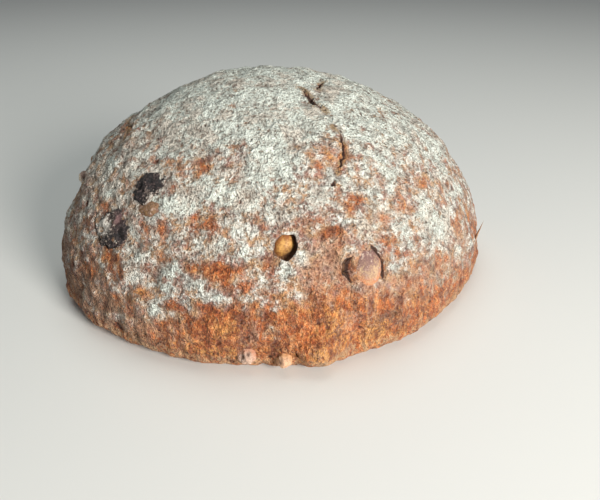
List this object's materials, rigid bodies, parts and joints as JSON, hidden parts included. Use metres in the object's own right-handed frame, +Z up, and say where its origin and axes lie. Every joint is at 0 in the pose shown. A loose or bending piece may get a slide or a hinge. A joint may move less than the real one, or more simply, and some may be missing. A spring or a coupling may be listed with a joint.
{
  "type": "nut bread",
  "caption": "Round domed nut bread, dusted with flour, with nuts and raisins baked into its browned crust.",
  "frame": {"origin": "middle of the whole loaf's bounding box, at the flat base that it rests on", "axes": "+Z up through the crown; the front, with the open hazelnut pocket, faces -Y; +X is to the right of the front, along the loaf's longest side"},
  "size_m": [0.2118, 0.1958, 0.0983],
  "materials": {
    "crust": "matte, rough browned crust dusted with pale flour",
    "nut": "satin, roasted nut",
    "raisin": "satin, dark wrinkled skin"
  },
  "bodies": {
    "root": {"loaf": "crust", "hazelnut_front": "nut", "nut_front_right": "nut", "raisin_upper_left": "raisin", "nut_upper_left": "nut", "raisin_lower_left": "raisin", "nut_left_side": "nut", "nut_base_left": "nut", "nut_base_middle": "nut", "hazelnut_right": "nut", "raisin_back_left": "raisin", "nut_back": "nut", "raisin_back_right": "raisin"}
  },
  "joints": []
}
